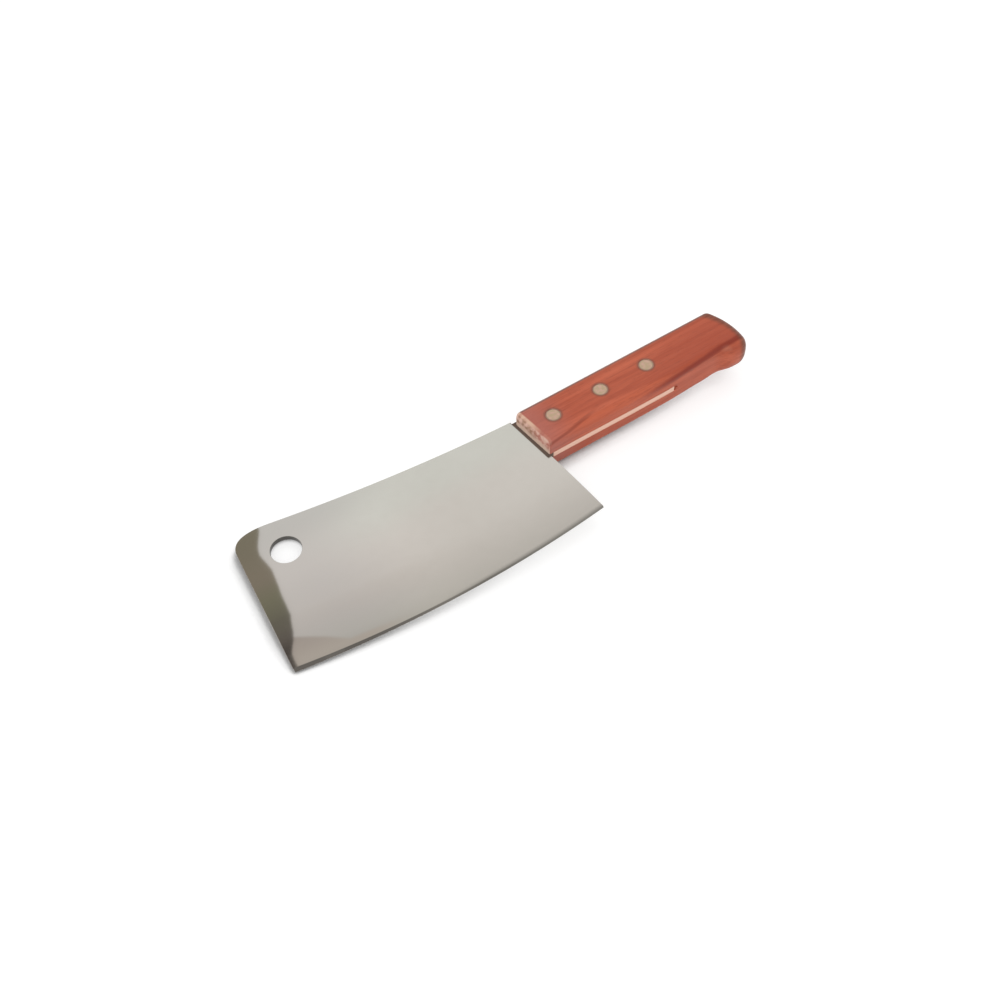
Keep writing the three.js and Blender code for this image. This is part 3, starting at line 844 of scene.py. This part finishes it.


# %% [markdown]
# ## Polished steel
# The blade is polished bright at its front, where it mirrors the wall behind it with a crisp border,
# and more satin towards the handle. Polishing leaves hair lines along the blade. A narrow strip just
# ahead of the wood is painted dark as the shade where wood and blade meet, and the wall of the hanging
# hole is dark too. The bevel near the cutting edge is painted darker towards the heel, a painted
# reflection of the darker room. The tang's narrow edge between the wood is coloured a warm peach.

# %% Steel: colour
steel = Finish("polished_steel")
hair_lines = steel.noise((0.02, 3.5, 3.5), detail=4.0, rough=0.6)
cloud = steel.noise((0.025, 0.035, 0.05), detail=2.0)
fine_cloud = steel.noise((0.18, 0.22, 0.2), detail=3.0)
warm_steel = steel.mix(cloud, colour(0.552, 0.526, 0.480), colour(0.582, 0.552, 0.508))
cool_steel = steel.mix(cloud, colour(0.536, 0.532, 0.482), colour(0.566, 0.560, 0.512))
towards_spine = steel.ramp(steel.math("MULTIPLY_ADD", cloud, 14.0, steel.y), -8.0, 16.0)
steel_tone = steel.mix(towards_spine, warm_steel, cool_steel)
steel_tone = steel.mix(steel.ramp(steel.x, -85.0, -140.0), steel_tone, colour(0.500, 0.477, 0.446))
spine_front = steel.times(steel.ramp(steel.x, -65.0, -115.0, 0.0, 0.5), steel.ramp(steel.y, 5.0, 26.0))
steel_tone = steel.mix(spine_front, steel_tone, colour(0.42, 0.41, 0.385))
steel_tone = steel.mix(steel.ramp(fine_cloud, 0.35, 0.75, 0.0, 0.10), steel_tone, colour(0.49, 0.47, 0.425))
print("steel nodes for the colour:", len(steel.tree.nodes))

# %% Steel: painted shade at the wood, a dark hole wall, a painted bevel reflection and a warm tang edge, then the polish
behind_front = steel.math("MULTIPLY_ADD", steel.y, float(FRONT_SLOPE), steel.x)
# painted shade: a dark strip on the steel just ahead of the wood, where wood and blade meet
wood_junction_shade = steel.times(steel.ramp(behind_front, -STEP_LEAD - 0.35, -STEP_LEAD + 0.15),
                       steel.ramp(steel.y, -15.8, -14.6))
in_hole = steel.ramp(steel.away_from(HANG_HOLE), HANG_RADIUS + 0.03, HANG_RADIUS + 0.16, 1.0, 0.0)
shade_strip_and_hole_wall = steel.math("MAXIMUM", wood_junction_shade, in_hole)
from_edge = steel.math("SUBTRACT", float(edge_radius), steel.away_from(edge_middle))
# painted reflection: the bevel near the cutting edge, on the heel half, painted darker for the darker room it
# mirrors
bevel_dark_reflection = steel.times(steel.ramp(from_edge, 3.0, 0.3, 0.0, 0.75), steel.ramp(steel.x, -100.0, -60.0))
steel_tone = steel.mix(bevel_dark_reflection, steel_tone, colour(0.24, 0.23, 0.21))
steel_tone = steel.mix(wood_junction_shade, steel_tone, colour(0.150, 0.105, 0.083))
steel_tone = steel.mix(in_hole, steel_tone, colour(0.095, 0.090, 0.083))
# the tang's narrow edge between the wood is coloured a warm peach
warm_tang_edge = steel.ramp(behind_front, 2.0, 3.2)
steel_tone = steel.mix(warm_tang_edge, steel_tone, colour(0.80, 0.54, 0.43))
satin = steel.ramp(steel.x, -130.0, -50.0)
steel_rough = steel.math("MULTIPLY_ADD", satin, steel.math("MULTIPLY_ADD", hair_lines, 0.08, 0.14), 0.025)
steel_rough = steel.math("MULTIPLY_ADD", shade_strip_and_hole_wall, 0.3, steel_rough)
waves = steel.bump(cloud, 0.03, 0.0004)
steel_relief = steel.bump(hair_lines, steel.times(satin, 0.03), 0.00002, waves)
steel.finish(blade_piece, Base_Color=steel_tone, Metallic=1.0, Roughness=steel_rough, Normal=steel_relief)

# %% [markdown]
# ## Red hardwood under lacquer
# The wood is a red-brown tropical hardwood. Its colour runs in soft streaks along the handle, a darker
# streak crosses the belly side towards the butt, and short pores lie along the grain. The front end
# shows the end grain as pale speckles, painted paler near the blade for the light the steel throws up.
# The finish is a thin satin lacquer. A painted highlight runs over the front end's rounding, painted
# shade darkens the spine side's edges, and the butt is darker from its end grain and painted shade.

# %% Wood: colour along the grain
wood = Finish("lacquered_hardwood")
broad = wood.noise((0.010, 0.16, 0.16), detail=3.0, rough=0.55, distortion=0.4)
streaks = wood.noise((0.018, 0.75, 0.75), detail=4.0, rough=0.6, distortion=0.3)
fibres = wood.noise((0.06, 3.2, 3.2), detail=3.0, rough=0.6)
pores = wood.noise((0.16, 5.0, 5.0), detail=1.0)
drift = wood.noise((0.03, 0.1, 0.1), detail=2.0)

wood_tone = wood.mix(wood.ramp(broad, 0.32, 0.70), colour(0.415, 0.077, 0.034), colour(0.550, 0.122, 0.058))
wood_tone = wood.mix(wood.ramp(streaks, 0.42, 0.72, 0.0, 0.55), wood_tone, colour(0.33, 0.057, 0.028))
wood_tone = wood.mix(wood.ramp(fibres, 0.45, 0.8, 0.0, 0.35), wood_tone, colour(0.56, 0.165, 0.095))
faces_front, faces_spine, faces_up = (wood.facing_along(axis) for axis in (-knife_x, knife_y, knife_z))
wood_tone = wood.mix(wood.ramp(wood.x, 26.0, -2.0, 0.0, 0.75), wood_tone, colour(0.44, 0.150, 0.118))
towards_butt = wood.times(wood.ramp(wood.x, 60.0, 120.0, 0.0, 0.35), wood.ramp(faces_up, 0.6, 0.95))
wood_tone = wood.mix(towards_butt, wood_tone, colour(0.40, 0.064, 0.028))
print("wood nodes for the grain:", len(wood.tree.nodes))

# %% Wood: dark streaks, pores and rings round the rivets
# distance round the belly side's edge, measured as on a sheet of veneer bent over it
veneer = wood.math("SUBTRACT", wood.math("ADD", wood.y, wood.z), HANDLE_HALF)
veneer = wood.math("MULTIPLY_ADD", drift, 3.0, veneer)


def streak_along(at_zero, slope, width):
    """A dark streak: its middle runs as at_zero + slope x on the veneer, and it fades over its width."""
    middle = wood.math("MULTIPLY_ADD", wood.x, slope, at_zero)
    away = wood.math("ABSOLUTE", wood.math("SUBTRACT", veneer, middle))
    return wood.ramp(away, 0.2 * width, width, 1.0, 0.0)


long_streak = wood.times(streak_along(-23.9, 0.108, 3.2), wood.ramp(wood.x, 50.0, 85.0))
short_streak = wood.times(streak_along(-13.9, 0.2, 1.8), wood.ramp(wood.x, 42.0, 22.0))
wood_tone = wood.mix(wood.times(long_streak, 0.8), wood_tone, colour(0.22, 0.022, 0.010))
wood_tone = wood.mix(wood.times(short_streak, 0.55), wood_tone, colour(0.22, 0.036, 0.019))
wood_tone = wood.mix(wood.ramp(pores, 0.62, 0.74, 0.0, 0.5), wood_tone, colour(0.16, 0.030, 0.017))

# a dark ring on the wood round each rivet head
ring_round_heads = 0.0
for place in rivet_places:
    ring_round_heads = wood.math("MAXIMUM", ring_round_heads, wood.ramp(wood.away_from(place), 4.4, 5.8, 1.0, 0.0))
wood_tone = wood.mix(wood.times(ring_round_heads, 0.6), wood_tone, colour(0.17, 0.075, 0.05))
print("wood nodes with streaks:", len(wood.tree.nodes))

# %% Wood: painted highlight and shade on the edges, and end grain, told apart by where the surface faces
faces_flat = wood.math("ABSOLUTE", faces_up)
# painted shade along the spine side's rounded edges
spine_edge_shade = wood.times(wood.ramp(faces_spine, 0.05, 0.4), wood.ramp(faces_flat, 0.2, 0.5))
# the butt's rounded end is darker: partly its end grain, partly painted shade where the rounding turns away
# from the light
from_butt = wood.math("SUBTRACT", BUTT_RADIUS, wood.away_from(butt_middle))
butt_grain_and_shade = wood.times(wood.ramp(from_butt, 7.6, 4.0, 0.0, 0.85), wood.ramp(wood.x, 100.0, 110.0))
wood_tone = wood.mix(wood.times(spine_edge_shade, 0.78), wood_tone, colour(0.165, 0.074, 0.052))
butt_grain_and_shade_tone = wood.mix(wood.ramp(streaks, 0.35, 0.65), colour(0.215, 0.072, 0.040), colour(0.135, 0.042, 0.023))
wood_tone = wood.mix(butt_grain_and_shade, wood_tone, butt_grain_and_shade_tone)
speckle = wood.noise((0.3, 0.34, 0.34), detail=2.0, rough=0.5)
# painted highlight on the upper part of the front end's rounding, stronger on the spine half and mottled
front_round_highlight = wood.times(
    wood.ramp(faces_front, 0.08, 0.32), wood.ramp(faces_up, 0.3, 0.6),
    wood.ramp(wood.y, -6.0, 4.0, 0.15, 1.0), wood.ramp(speckle, 0.30, 0.52, 0.5, 0.95))
wood_tone = wood.mix(front_round_highlight, wood_tone, colour(0.72, 0.47, 0.34))
front_gap = wood.math("MULTIPLY_ADD", wood.y, float(FRONT_SLOPE), wood.x)
end_grain = wood.times(wood.ramp(faces_front, 0.55, 0.8), wood.ramp(front_gap, 8.0, 5.0))
end_brown = wood.mix(wood.ramp(wood.y, 4.0, -8.0), colour(0.33, 0.17, 0.10), colour(0.47, 0.16, 0.125))
end_tone = wood.mix(wood.ramp(speckle, 0.32, 0.66), end_brown, colour(0.72, 0.45, 0.36))
# painted light: the end face is painted paler near the blade, for the light the polished steel throws up onto
# it
from_tang = wood.math("ABSOLUTE", wood.z)
end_tone = wood.mix(wood.ramp(from_tang, 6.0, 3.2, 0.0, 0.85), end_tone, colour(0.76, 0.56, 0.45))
wood_tone = wood.mix(end_grain, wood_tone, end_tone)

# %% Wood: relief and lacquer
wood_relief = wood.bump(fibres, 0.10, 0.0001)
wood_relief = wood.bump(wood.ramp(pores, 0.60, 0.74, 1.0, 0.0), 0.25, 0.00008, wood_relief)
wood_rough = wood.math("MULTIPLY_ADD", streaks, 0.18, 0.36)
wood.finish(handle_piece, Base_Color=wood_tone, Roughness=wood_rough, Normal=wood_relief,
            Specular_IOR_Level=0.25, Coat_Weight=0.08, Coat_Roughness=0.28)
# the steel beside the handle is too satin to show its mirror image
for piece in (handle_piece, *rivet_pieces):
    piece.visible_glossy = False

# %% [markdown]
# ## Satin rivet metal
# The heads were sanded flush together with the wood, so they carry fine straight scratches along the
# handle and a warm, pale colour.

# %% Rivet finish
metal = Finish("satin_rivet_metal")
sanding = metal.noise((0.25, 9.0, 9.0), detail=3.0, rough=0.6)
patches = metal.noise((0.5, 0.5, 0.5), detail=2.0)
metal_tone = metal.mix(metal.ramp(patches, 0.35, 0.65), colour(0.53, 0.395, 0.26), colour(0.63, 0.415, 0.32))
metal_tone = metal.mix(metal.ramp(sanding, 0.5, 0.75, 0.0, 0.3), metal_tone, colour(0.45, 0.31, 0.23))
rim = 0.0
for place in rivet_places:
    from_rim = metal.math("ABSOLUTE", metal.math("SUBTRACT", metal.away_from(place), HEAD_RADIUS))
    rim = metal.math("MAXIMUM", rim, metal.ramp(from_rim, 0.2, 0.75, 1.0, 0.0))
metal_tone = metal.mix(metal.times(rim, 0.8), metal_tone, colour(0.28, 0.185, 0.135))
metal_rough = metal.math("MULTIPLY_ADD", sanding, 0.15, 0.30)
metal_relief = metal.bump(sanding, 0.12, 0.00004)
metal.finish(*rivet_pieces, Base_Color=metal_tone, Metallic=1.0, Roughness=metal_rough, Normal=metal_relief)

# %% [markdown]
# ## Table and studio
# The knife lies on a white table in a white studio. A white floor under soft light is grey in a picture,
# so the table adds a glow of its own for the camera. The glow fades where the knife hides the light that
# comes low along the handle, and so the shadow is widest at the blade's front; the hanging hole lets a
# spot of light through. The studio's wall is bright behind the knife and greyer towards the ceiling. A
# dark gap at the left and a grey panel beside it are what the polished blade mirrors at its front.

# %% Table
def towards(bearing_degrees, height_degrees):
    """The direction at a bearing, to the right of straight back, and a height angle above the table."""
    turn, height = np.radians([bearing_degrees, height_degrees])
    return np.array([np.sin(turn) * np.cos(height), np.cos(turn) * np.cos(height), np.sin(height)])


TABLE_HALF, TABLE_GLOW = 6.0, 0.66
corners = np.array([[-1, -1], [1, -1], [1, 1], [-1, 1]]) * TABLE_HALF
table_mesh = bpy.data.meshes.new("table_top")
table_mesh.from_pydata(np.column_stack([corners, np.zeros(4)]).tolist(), [], [[0, 1, 2, 3]])
table_top = bpy.data.objects.new("table_top", table_mesh)
bpy.context.scene.collection.objects.link(table_top)

table = Finish("white_table")
grain = table.noise((0.004, 0.004, 0.004), detail=2.0)
light_path = table.node("ShaderNodeLightPath").outputs
seen = table.math("MAXIMUM", light_path["Is Camera Ray"], light_path["Is Glossy Ray"])
seen = table.math("MAXIMUM", seen, light_path["Is Transmission Ray"])
table_tone = table.mix(grain, colour(0.79, 0.79, 0.79), colour(0.81, 0.81, 0.81))
table_tone = table.mix(seen, table_tone, colour(0.45, 0.45, 0.45))
along_handle = table.node("ShaderNodeCombineXYZ", **dict(zip("XYZ", towards(68.0, 10.0))))
open_sky = table.node("ShaderNodeAmbientOcclusion", Distance=0.011, Normal=along_handle.outputs[0])
open_sky.samples = 8
through_hole = table.ramp(table.away_from(HANG_HOLE), HANG_RADIUS + 2.5, HANG_RADIUS - 1.0)
lit = table.math("MAXIMUM", table.ramp(open_sky.outputs["AO"], 0.57, 0.82), through_hole)
glow = table.times(lit, TABLE_GLOW, seen)
table.finish(table_top, Base_Color=table_tone, Roughness=0.9, Specular_IOR_Level=0.0,
             Emission_Color=colour(1, 1, 1), Emission_Strength=glow)

# %% Studio walls and ceiling
world = bpy.data.worlds.new("studio")
bpy.context.scene.world = world
world.use_nodes = True
studio = Bench(world.node_tree)
ray = studio.node("ShaderNodeTexCoord").outputs["Generated"]
ray_right, ray_back, ray_up = studio.node("ShaderNodeSeparateXYZ", Vector=ray).outputs


def tone_by_height(stops):
    """A ramp over the sine of the height angle above the table."""
    ramp = studio.node("ShaderNodeValToRGB", Fac=ray_up)
    while len(ramp.color_ramp.elements) < len(stops):
        ramp.color_ramp.elements.new(0.5)
    for element, (degrees, tone) in zip(ramp.color_ramp.elements, stops):
        element.position = np.sin(np.radians(degrees))
        element.color = colour(*tone)
    return ramp.outputs[0]


bright_wall = tone_by_height([
    (0, (1.0, 1.0, 1.0)), (53, (1.0, 1.0, 1.0)), (55.6, (0.985, 0.965, 0.965)), (56.6, (0.93, 0.91, 0.91)),
    (58, (0.88, 0.855, 0.845)), (60, (0.835, 0.81, 0.80)), (62, (0.80, 0.785, 0.775)),
    (64.5, (0.76, 0.755, 0.735)), (66.5, (0.69, 0.685, 0.66)), (72, (0.50, 0.49, 0.47)),
    (80, (0.32, 0.31, 0.30)), (88, (0.25, 0.24, 0.23)),
])
dark_gap = tone_by_height([
    (0, (1.0, 1.0, 1.0)), (46, (1.0, 1.0, 1.0)), (51.5, (0.40, 0.37, 0.30)), (53.4, (0.355, 0.325, 0.25)),
    (55.5, (0.35, 0.31, 0.25)), (56.4, (0.29, 0.284, 0.206)), (57.6, (0.22, 0.21, 0.17)),
    (59.6, (0.21, 0.195, 0.165)), (61.5, (0.185, 0.166, 0.149)), (63.4, (0.12, 0.107, 0.098)),
    (75, (0.14, 0.13, 0.12)), (88, (0.24, 0.23, 0.22)),
])
grey_panel = tone_by_height([
    (60, (0.60, 0.545, 0.515)), (62, (0.61, 0.555, 0.525)), (64, (0.65, 0.595, 0.555)),
    (66, (0.70, 0.65, 0.60)), (70, (0.60, 0.56, 0.53)), (88, (0.25, 0.24, 0.23)),
])
print("studio: a bright wall, a dark gap and a grey panel")

# %% Where the gap and the panel stand
# The gap's right border stands at a bearing, in degrees to the right of straight back; it leans a little
# left above. Right of it hangs a greyer panel whose lower edge slopes up to the right.
BORDER_SCALE = 20.0
bearing = studio.math("DEGREES", studio.math("ARCTAN2", ray_right, ray_back))
height_angle = studio.math("DEGREES", studio.math("ARCSINE", ray_up))
border_bearing = tone_by_height([(degrees, (at / BORDER_SCALE,) * 3) for degrees, at in (
    (0, 8.5), (50, 8.5), (53.3, 8.0), (53.8, 7.45), (54.3, 7.25), (55.1, 7.7), (56.2, 7.6), (57.5, 7.6),
    (60.7, 6.9), (62.1, 6.5), (64.4, 5.4), (66.3, 5.0), (80, 5.0))])
from_border = studio.math("SUBTRACT", bearing, studio.times(border_bearing, BORDER_SCALE))
in_gap = studio.times(studio.ramp(from_border, 0.06, -0.06), studio.ramp(bearing, -30.0, -18.0))
panel_foot = studio.math("MINIMUM", studio.math("MULTIPLY_ADD", bearing, 0.72, 56.8), 65.8)
above_foot = studio.ramp(studio.math("SUBTRACT", height_angle, panel_foot), -0.4, 0.4)
on_panel = studio.times(above_foot, studio.ramp(bearing, 22.0, 15.0), studio.ramp(bearing, -34.0, -30.0))

wall_tone = studio.mix(in_gap, studio.mix(on_panel, bright_wall, grey_panel), dark_gap)
# far to the right the wall turns away and dims a little
wall_strength = studio.math("MULTIPLY_ADD", studio.ramp(bearing, 37.0, 43.0), -0.15, 1.10)
background = studio.tree.nodes["Background"]
studio.put(background.inputs["Color"], wall_tone)
studio.put(background.inputs["Strength"], wall_strength)
print("studio nodes:", len(studio.tree.nodes))


# %% Lamp
def soft_lamp(name, aim, distance, size, watts):
    """A square soft box that looks at the knife from a direction."""
    lamp_data = bpy.data.lights.new(name, "AREA")
    lamp_data.shape, lamp_data.size, lamp_data.energy = "SQUARE", size, watts
    lamp = bpy.data.objects.new(name, lamp_data)
    lamp.location = aim * distance
    lamp.rotation_euler = Vector(-aim).to_track_quat("-Z", "Y").to_euler()
    lamp.visible_glossy = False
    bpy.context.scene.collection.objects.link(lamp)
    return lamp


back_lamp = soft_lamp("back_soft_box", towards(62, 62), distance=1.4, size=0.8, watts=1.8)
bpy.context.scene.view_settings.view_transform = "Standard"
print("lamp:", back_lamp.name)
